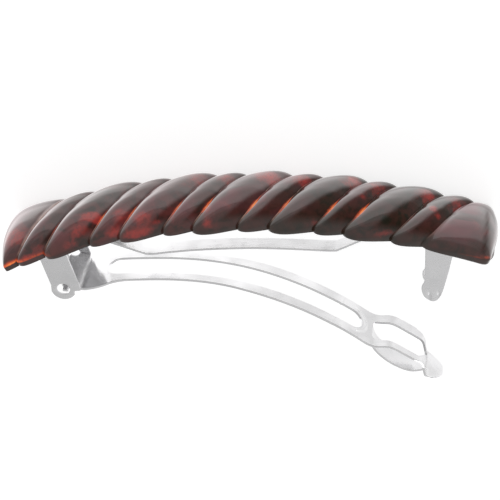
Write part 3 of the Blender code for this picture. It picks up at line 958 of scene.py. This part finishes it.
def bentSheet(name, loops, sheet, stations, place, seams=(), seamRange=(0, 0)):
    # cut across at each station, and lengthwise at each seam, then every point put in its bent place
    bm = sheetBlank(loops, sheet["thickness"], sheet["edgeRound"])

    def cut(parts, at, normal):
        bmesh.ops.bisect_plane(bm, geom=parts, dist=cutSnap, plane_co=at, plane_no=normal)

    for u in stations:
        cut(list(bm.verts) + list(bm.edges) + list(bm.faces), (u, 0, 0), (1, 0, 0))
    for v in seams:
        faces = [face for face in bm.faces if seamRange[0] < face.calc_center_median().x < seamRange[1]]
        edges = list({edge for face in faces for edge in face.edges})
        verts = list({vert for face in faces for vert in face.verts})
        cut(verts + edges + faces, (0, v, 0), (0, 1, 0))
    for vert in bm.verts:
        x, y, z = place(vert.co.x, vert.co.y, -vert.co.z)
        vert.co = (x * mm, y * mm, z * mm)
    bmesh.ops.recalc_face_normals(bm, faces=bm.faces)
    mesh = bpy.data.meshes.new(name)
    bm.to_mesh(mesh)
    bm.free()
    mesh.shade_smooth()
    return addObject(name, mesh)


def weldPieces(main, others):
    for other in others:
        step = main.modifiers.new("weld", "BOOLEAN")
        step.operation = "UNION"
        step.solver = "EXACT"
        step.object = other
    piece = plainMesh(main, main.name)
    for other in others:
        bpy.data.objects.remove(other)
    return piece


def finishSheet(piece, matrix, material, sharp=50):
    name = piece.name
    piece.data.transform(matrix)
    piece.data.materials.clear()
    piece.data.materials.append(material)
    piece.data.set_sharp_from_angle(angle=math.radians(sharp))
    even = piece.modifiers.new("evenNormals", "WEIGHTED_NORMAL")
    even.mode = "FACE_AREA"
    even.weight = 100
    even.keep_sharp = True
    return plainMesh(piece, name)


def every(start, end, step):
    count = max(1, round((end - start) / step))
    return [start + (end - start) * i / count for i in range(1, count)]


steelFinish = {
    "tone": (0.80, 0.797, 0.804, 1),
    "dull": (0.70, 0.697, 0.702, 1),
    "grain": (0.05, 1.0, 1.0),  # the streaks run along the sheet
    # scale, detail and distortion
    "noises": {"cloudy": (240, 4.0, 0.5), "marks": (3200, 5.0, 1.2), "waves": (520, 2.0)},
    "streaks": (9000, 3.0),
    "dulled": (-0.1, 0.35),  # how worn it is where it starts to be dull and where it is quite dull
    "roughened": (0.0, 0.5),
    "markShare": 0.3,
    "streakBump": 0.12,
    "scratches": (0.62, 0.72),  # which marks are pressed in
    "scratchBump": -0.15,
    "bumps": (0.35, 0.02 * mm),  # strength and depth
    "station": 0.6,  # mm between the cuts along a bent sheet
}


def steelGroup(look):
    # plated sheet: faint rolling streaks, cloudy polish and fine handling marks
    group = bpy.data.node_groups.new("platedSheet", "ShaderNodeTree")
    face = group.interface
    taken = {"Tone": "Color", "Dull": "Color", "Rough": "Float", "Spread": "Float", "Streaks": "Float"}
    for name, kind in taken.items():
        face.new_socket(name, in_out="INPUT", socket_type="NodeSocket" + kind)
    for name, kind in {"Colour": "Color", "Roughness": "Float", "Normal": "Vector"}.items():
        face.new_socket(name, in_out="OUTPUT", socket_type="NodeSocket" + kind)
    given = addNode(group, "NodeGroupInput").outputs
    out = addNode(group, "NodeGroupOutput")
    coords = addNode(group, "ShaderNodeTexCoord").outputs["Object"]
    stretch = addNode(group, "ShaderNodeMapping")
    feed(group, stretch, {"Scale": look["grain"], "Vector": coords})
    streaks = noise(group, stretch.outputs[0], *look["streaks"])
    patterns = {name: noise(group, coords, *values) for name, values in look["noises"].items()}
    marks = patterns["marks"]
    worn = (streaks - 0.5) * given["Streaks"] + (patterns["cloudy"] - 0.5)
    rough = (worn + marks * look["markShare"]).ease(*look["roughened"])
    scratches = marks.ease(*look["scratches"]) * look["scratchBump"]
    height = streaks * look["streakBump"] + (patterns["waves"] + scratches)
    feed(group, out, {
        "Colour": mixColour(group, given["Tone"], given["Dull"], worn.ease(*look["dulled"])),
        "Roughness": given["Rough"] + given["Spread"] * rough,
        "Normal": bumpNormal(group, height, *look["bumps"]),
    })
    return group


sheetGroup = steelGroup(steelFinish)


def steel(name, finish, look=steelFinish):
    material, tree, shader = newMaterial(name)
    sheet = addNode(tree, "ShaderNodeGroup", node_tree=sheetGroup)
    feed(tree, sheet, {"Tone": look["tone"], "Dull": look["dull"], **finish})
    made = sheet.outputs
    feed(tree, shader, {"Base Color": made["Colour"], "Roughness": made["Roughness"],
                        "Normal": made["Normal"], "Metallic": 1.0})
    return material


# Base plate, with its two ears and two catch legs

basePlate = {
    "radius": 121.7,  # of its upper face
    "thickness": 0.45,
    "edgeRound": 0.12,
    "outline": (
        (-39.6, 2.6), (-38.9, 4.6), (-37.6, 5.6), (-32.6, 5.6), (-30.6, 3.9), (28.6, 3.9), (30.4, 2.05),
        (38.8, 2.05), (39.6, 1.2)
    ),
    "earSpread": 5.57,
    "earHole": (-34.95, -14.4),
    "earHoleRadius": 1.2,
    "earTipRadius": 2.45,
    "earTipArc": (190, 322),  # degrees
    "earNotch": (0.2, 0.05),  # beside the tip
    "earCorner": 0.25,
    "earTop": (-38.5, -33.4),
    "earShoulders": ((-37.25, -13.4), (-31.6, -14.9)),
    "legSpread": 2.03,
    "legTop": (33.0, 38.6),
    "legOutline": (
        (32.7, -10.4), (32.4, -15.6), (31.8, -17.1), (31.8, -18.4), (32.2, -19.55), (32.9, -20.35),
        (33.8, -20.7), (34.55, -20.45), (35.15, -19.7), (35.6, -18.6), (36.0, -17.3), (36.8, -14.4),
        (37.7, -10.6)
    ),
    "legBend": ((0.0, -4.5), (0.0, -12.2), (0.0, -15.6), (0.1, -17.0), (0.18, -18.0), (0.22, -20.8)),
    "headDents": ((33.1, -19.6), (34.8, -19.65)),  # pressed creases beside the tip of each leg
    "dentDepth": 0.2,
    "dentReach": (0.4, 1.3),
    # the finer cuts over the dents: mm down the leg, mm along the clip and the step
    "dentCuts": ((9.0, 16.8), (31.8, 36.8), 0.25),
    "dentSeams": (12.5, 17.0),  # how far down the leg the second ones go
    "corner": (0.8, 5, 15),  # radius, steps, and the least turn in degrees that is rounded
    "station": 1.2,
    "finish": {"Rough": 0.24, "Spread": 0.14, "Streaks": 0.5},
}


def archHeight(x, radius):
    return math.sqrt(radius ** 2 - x ** 2) - ropeBar["sizes"]["backRadius"]


def plateEdge(base, left, right):
    # where a part that is bent down from the plate starts: three points of the plate's middle line
    middle = base["radius"] - base["thickness"] / 2
    return [(x, archHeight(x, middle)) for x in (left, (left + right) / 2, right)]


def makeEar(base, side):
    tip = arc(base["earHole"], base["earTipRadius"], *base["earTipArc"], 16)
    shoulder, (heelX, heelZ) = base["earShoulders"]
    notchX, notchZ = base["earNotch"]
    top = plateEdge(base, *base["earTop"])[::-1]
    outline = top + [shoulder] + tip + [(tip[-1][0] + notchX, heelZ - notchZ), (heelX, heelZ)]
    hole = arc(base["earHole"], base["earHoleRadius"], 0, 360, 32)[:-1]

    def place(u, v, depth):
        return u, side * (base["earSpread"] + base["thickness"] / 2 - depth), v

    return bentSheet("ear", [roundCorners(outline, base["earCorner"]), hole], base, [], place)


def makeLeg(base, side):
    bend = base["legBend"]
    start = bend[0][1]
    tops = plateEdge(base, *base["legTop"])
    outline = [tops[0]] + smoothLine(base["legOutline"], 4) + [tops[2], tops[1]]
    loop = [(start - z, x) for x, z in outline]
    path = BentPath([(start - z, y) for y, z in bend])
    narrow, tall = base["dentReach"]

    def place(u, v, depth):
        for x, z in base["headDents"]:
            far = ((v - x) / narrow) ** 2 + ((u - (start - z)) / tall) ** 2
            depth += base["dentDepth"] * math.exp(-2 * far)
        drop, out = path.point(u, depth)
        return v, side * (base["legSpread"] + base["thickness"] / 2 + out), start - drop

    down, along, step = base["dentCuts"]
    seams = every(*along, step)
    return bentSheet("leg", [loop], base, every(*down, step), place, seams, base["dentSeams"])


def makeBaseSheet(base, material):
    first, last = base["outline"][0][0], base["outline"][-1][0]
    path = BentPath([(x, archHeight(x, base["radius"])) for x in np.linspace(first, last, 31)], 4)
    loop = bothSides([(path.distanceAt(x), w) for x, w in base["outline"]])
    loop = roundCorners(loop, *base["corner"])
    stations = every(0, path.length, base["station"])
    plate = bentSheet("baseSheet", [loop], base, stations, path.place)
    parts = [make(base, side) for make in (makeEar, makeLeg) for side in (-1, 1)]
    return finishSheet(weldPieces(plate, parts), clipFrame, material)


# Tension bow

springBow = {
    "thickness": 0.4,
    "edgeRound": 0.07,
    "halfWidth": 1.53,
    "nose": 0.6,
    "path": (
        (-31.6, -5.3), (-30.2, -5.0), (-29.3, -5.05), (-20.2, -8.95), (-19.0, -9.35), (-17.8, -9.4),
        (-15.0, -9.05), (-10.0, -8.62), (-5.0, -8.38), (0.0, -8.3), (5.0, -8.44), (10.0, -8.75),
        (14.0, -9.05), (16.0, -9.1), (17.0, -8.85), (25.6, -4.6), (26.4, -4.3), (28.6, -4.65)
    ),
    "finish": {"Rough": 0.16, "Spread": 0.10, "Streaks": 0.8},
}


def makeSpringBow(bow, material):
    path = BentPath(bow["path"])
    loop = roundedSlot(0, path.length, bow["halfWidth"], bow["nose"], 6)
    stations = every(0, path.length, steelFinish["station"])
    strip = bentSheet("springBow", [loop], bow, stations, path.place)
    return finishSheet(strip, clipFrame, material)


# Closing arm, in its shut position, measured from the hinge

closingArm = {
    "thickness": 0.48,
    "edgeRound": 0.06,
    "path": (
        (-1.0, -0.12), (0.0, 0.0), (2.6, 0.3), (3.5, 0.52), (4.4, 0.9), (5.8, 1.56), (7.0, 2.2),
        (7.9, 2.66), (8.8, 2.99), (10.1, 3.41), (14.0, 4.45), (18.9, 5.6), (23.9, 6.4), (29.1, 6.75),
        (34.4, 6.55), (39.8, 5.75), (45.3, 4.4), (51.1, 2.4), (54.6, 0.9), (57.0, -0.3), (58.2, -0.8),
        (59.2, -0.95), (60.2, -0.75), (61.2, -0.5), (62.2, -0.5), (63.4, -0.8), (65.7, -1.75),
        (67.8, -2.7), (68.6, -3.25), (69.2, -4.1), (69.9, -6.1), (70.5, -6.85), (73.45, -7.82)
    ),
    "root": ((-1.0, 4.4), (-0.8, 4.9), (-0.55, 5.0), (-0.55, 6.15), (0.55, 6.15), (0.55, 5.3)),
    "rails": (
        (3.1, 5.3), (3.5, 5.4), (6.4, 5.3), (9.8, 4.45), (14.0, 4.2), (27.0, 4.2), (35.0, 4.55),
        (45.0, 4.65), (65.0, 4.65), (67.1, 4.5), (68.65, 4.05), (69.45, 3.7), (70.2, 3.6), (71.15, 3.3),
        (72.7, 2.2), (73.3, 1.6), (73.45, 0.9)
    ),
    "slot": (6.9, 56.2, 2.35),
    "window": (58.4, 70.05, 2.62, 1.0),
    "corner": 0.18,
    "railDish": 0.3,
    "railWidth": 2.0,
    "leafHalfWidth": 2.1,
    "leafCorner": 0.3,
    "leafStation": 0.3,
    "leafPath": (
        (57.8, -0.9), (58.4, -1.4), (59.2, -3.2), (60.7, -4.75), (62.9, -6.15), (65.1, -7.0),
        (67.1, -7.33), (68.6, -6.9), (69.85, -6.2)
    ),
    # a pressed line across both rails: mm along, slant, depth, width
    "crease": (51.2, 0.235, 0.07, 0.16),
    "rib": (0.75, 0.16, 0.3),  # a raised line round the slot's end: mm from it, height, width
    "fineStep": 0.2,  # mm between the cuts where the sheet bends most or has its pressed lines
    "fineBends": ((2.6, 8.8), (68.2, 71.0)),
    "creaseCuts": (1.5, 0.14),  # how far to either side of the crease, and the step
    "ribCuts": (0.3, 0.1),  # how far from the slot's end and from the window the rib's cuts stay
    "seams": (4.2, 0.25),  # how far to either side of the middle, and the step
    "finish": {"Rough": 0.12, "Spread": 0.10, "Streaks": 0.4},
}


def makeClosingArm(arm, material):
    path = BentPath(arm["path"])

    def read(points):
        return [(path.distanceAt(x), w) for x, w in points]

    half = read(arm["root"]) + smoothLine(read(arm["rails"]), 4)
    slotU = [path.distanceAt(x) for x in arm["slot"][:2]]
    windowU = [path.distanceAt(x) for x in arm["window"][:2]]
    halfSlot, (halfWindow, corner) = arm["slot"][2], arm["window"][2:]
    loops = [roundCorners(bothSides(half), arm["corner"]), roundedSlot(*slotU, halfSlot, halfSlot, 14),
             roundedSlot(*windowU, halfWindow, corner, 8)]
    creaseX, slant, creaseDepth, creaseWidth = arm["crease"]
    creaseU = path.distanceAt(creaseX)
    ribOut, ribHeight, ribWidth = arm["rib"]
    endCentre = slotU[1] - halfSlot

    def place(u, v, depth):
        t = (u - windowU[0]) / (windowU[1] - windowU[0])
        if 0 < t < 1:
            inward = max(0.0, 1 - (abs(v) - halfWindow) / arm["railWidth"])
            depth += arm["railDish"] * math.sin(math.pi * t) * min(1.0, inward)
        depth += creaseDepth * math.exp(-((u - creaseU - slant * v) / creaseWidth) ** 2)
        ribAway = math.hypot(max(0.0, u - endCentre), v) - halfSlot - ribOut
        depth -= ribHeight * math.exp(-(ribAway / ribWidth) ** 2) * min(1.0, max(0.0, u - endCentre))
        return path.place(u, v, depth)

    fine = arm["fineStep"]
    creaseReach, creaseStep = arm["creaseCuts"]
    afterSlot, beforeWindow = arm["ribCuts"]
    seamReach, seamStep = arm["seams"]
    stations = every(0, path.length, steelFinish["station"])
    stations += every(creaseU - creaseReach, creaseU + creaseReach, creaseStep)
    stations += every(endCentre + afterSlot, windowU[0] - beforeWindow, fine)
    for start, end in arm["fineBends"]:
        stations += every(path.distanceAt(start), path.distanceAt(end), fine)
    seams = every(-seamReach, seamReach, seamStep)
    seamRange = (endCentre, windowU[0])
    main = bentSheet("closingArm", loops, arm, sorted(stations), place, seams, seamRange)

    leafPath = BentPath(arm["leafPath"])
    leafLoop = roundedSlot(0, leafPath.length, arm["leafHalfWidth"], arm["leafCorner"], 3)
    leafStations = every(0, leafPath.length, arm["leafStation"])
    leaf = bentSheet("leaf", [leafLoop], arm, leafStations, leafPath.place)
    return finishSheet(weldPieces(main, [leaf]), armFrame, material)


base = makeBaseSheet(basePlate, steel("stampedSteel", basePlate["finish"]))
finishPiece(base, "bar", "base_plate")
bow = makeSpringBow(springBow, steel("springSteel", springBow["finish"]))
finishPiece(bow, "bar", "spring_bow")
arm = makeClosingArm(closingArm, steel("polishedSteel", closingArm["finish"]))
finishPiece(arm, "arm", "closing_arm")
